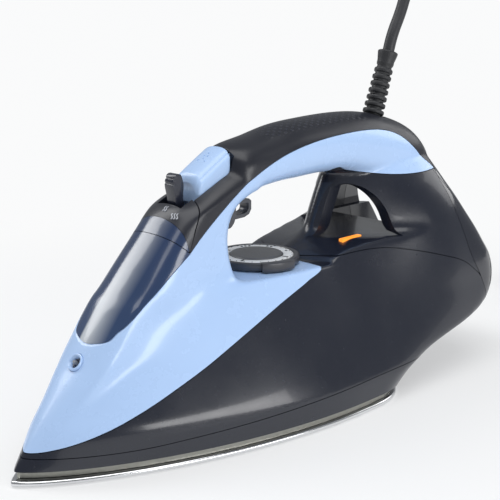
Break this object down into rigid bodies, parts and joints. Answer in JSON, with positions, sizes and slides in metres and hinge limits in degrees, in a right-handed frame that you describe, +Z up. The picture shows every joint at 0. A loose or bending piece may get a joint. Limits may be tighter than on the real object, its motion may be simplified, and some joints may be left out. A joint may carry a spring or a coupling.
{
  "type": "steam iron",
  "caption": "Corded steam iron with a pointed polished sole, arched handle with spray button and steam trigger, fill window, temperature dial and open heel.",
  "frame": {"origin": "middle of the iron's plan outline on the underside of the sole; the cord, its coil and its plug are left out of that outline", "axes": "+Z up; the nose points to -Y and the heel to +Y; +X is the side with the power light"},
  "size_m": [0.1252, 0.5883, 0.2673],
  "materials": {
    "navy_plastic": "dark navy moulded plastic, satin gloss",
    "light_blue_plastic": "light blue moulded plastic, satin gloss",
    "blue_window": "dark blue clear plastic, polished",
    "charcoal_plastic": "charcoal plastic, fine grain",
    "gloss_navy_plastic": "dark navy plastic, polished",
    "polished_steel": "polished stainless steel",
    "steel": "plain steel",
    "cast_aluminium": "die-cast, matt",
    "brass": "plain brass",
    "grey_plastic": "grey plastic, matt",
    "white_plastic": "white plastic, matt",
    "tank_plastic": "clear blue plastic",
    "black_rubber": "black rubber",
    "red_insulation": "red insulation",
    "amber_lens": "amber clear plastic",
    "circuit_board": "green board",
    "cord_rubber": "black cord rubber"
  },
  "bodies": {
    "iron_body": {"front_shell": "light_blue_plastic", "steam_collar": "charcoal_plastic", "handle_cover": "charcoal_plastic", "heel_arch": "navy_plastic", "side_panel_right": "navy_plastic", "side_panel_left": "navy_plastic", "rear_cover": "gloss_navy_plastic", "skirt": "navy_plastic", "soleplate": "polished_steel", "sole_casting": "cast_aluminium", "heating_element": "steel", "element_terminal_right": "brass", "element_terminal_left": "brass", "chamber_cover": "steel", "heat_shield": "grey_plastic", "thermostat": "white_plastic", "thermal_fuse": "white_plastic", "water_tank": "tank_plastic", "filler_seal": "black_rubber", "dosing_valve_seat": "brass", "spray_nozzle": "gloss_navy_plastic", "nozzle_insert": "grey_plastic", "spray_hose": "black_rubber", "spray_pump_body": "white_plastic", "spray_spring": "steel", "boost_pump_body": "white_plastic", "boost_spring": "steel", "boost_hose": "black_rubber", "indicator_lens": "amber_lens", "indicator_led": "white_plastic", "circuit_board": "circuit_board", "terminal_block": "white_plastic", "wiring_sleeve": "black_rubber", "cord_clamp": "grey_plastic", "heater_wire_live": "red_insulation", "heater_wire_neutral": "black_rubber", "rear_screw_right": "steel", "rear_screw_left": "steel", "power_cord": "cord_rubber", "cord_tail": "cord_rubber", "cord_coil": "cord_rubber", "cord_tie": "grey_plastic", "plug_body": "cord_rubber", "plug_pin_a": "brass", "plug_pin_b": "brass"},
    "filler_door_body": {"fill_door": "blue_window"},
    "spray_button_body": {"spray_button": "light_blue_plastic"},
    "spray_plunger_body": {"spray_plunger": "grey_plastic"},
    "steam_trigger_body": {"steam_trigger": "charcoal_plastic"},
    "boost_plunger_body": {"boost_plunger": "grey_plastic"},
    "steam_lever_body": {"steam_lever": "charcoal_plastic"},
    "dosing_needle_body": {"dosing_needle": "brass"},
    "dial_body": {"temperature_dial": "charcoal_plastic", "dial_scale_ring": "white_plastic", "dial_cap": "grey_plastic", "dial_spindle": "white_plastic"},
    "cord_guard_body": {"cord_guard": "cord_rubber"}
  },
  "joints": [
    {"name": "door_hinge", "type": "hinge", "parent": "iron_body", "child": "filler_door_body", "pos_m": [0, -0.0752, 0.1046], "axis": [-1, 0, 0], "range_deg": [0, 50]},
    {"name": "button_tilt", "type": "hinge", "parent": "iron_body", "child": "spray_button_body", "pos_m": [0, -0.0218, 0.137], "axis": [1, 0, 0], "range_deg": [0, 6], "stiffness_Nm_per_rad": 0.6, "springref_deg": -5.73},
    {"name": "spray_plunger_slide", "type": "slide", "parent": "iron_body", "child": "spray_plunger_body", "axis": [0, 0, -1], "range_m": [0, 0.0027], "deforming": ["spray_spring"]},
    {"name": "trigger_pull", "type": "hinge", "parent": "iron_body", "child": "steam_trigger_body", "pos_m": [0, -0.031, 0.1125], "axis": [1, 0, 0], "range_deg": [0, 11], "stiffness_Nm_per_rad": 0.4, "springref_deg": -8.59},
    {"name": "boost_plunger_slide", "type": "slide", "parent": "iron_body", "child": "boost_plunger_body", "axis": [0, 0, -1], "range_m": [0, 0.0027], "deforming": ["boost_spring"]},
    {"name": "lever_turn", "type": "hinge", "parent": "iron_body", "child": "steam_lever_body", "pos_m": [0, -0.054, 0.106], "axis": [0, 0.8, 0.6], "range_deg": [-18, 18]},
    {"name": "needle_lift", "type": "slide", "parent": "iron_body", "child": "dosing_needle_body", "axis": [0, 0, 1], "range_m": [-0.0011, 0.0011]},
    {"name": "dial_turn", "type": "hinge", "parent": "iron_body", "child": "dial_body", "pos_m": [0, -0.001, 0.08], "axis": [0, 0, 1], "range_deg": [-180, 18]},
    {"name": "guard_swivel", "type": "hinge", "parent": "iron_body", "child": "cord_guard_body", "pos_m": [0, 0.0946, 0.1456], "axis": [0, 0.3419, 0.9397], "continuous": true}
  ],
  "couplings": [
    {"joint": "spray_plunger_slide", "follows": "button_tilt", "m_per_rad": 0.0227},
    {"joint": "boost_plunger_slide", "follows": "trigger_pull", "m_per_rad": 0.0135},
    {"joint": "needle_lift", "follows": "lever_turn", "m_per_rad": 0.0033}
  ]
}
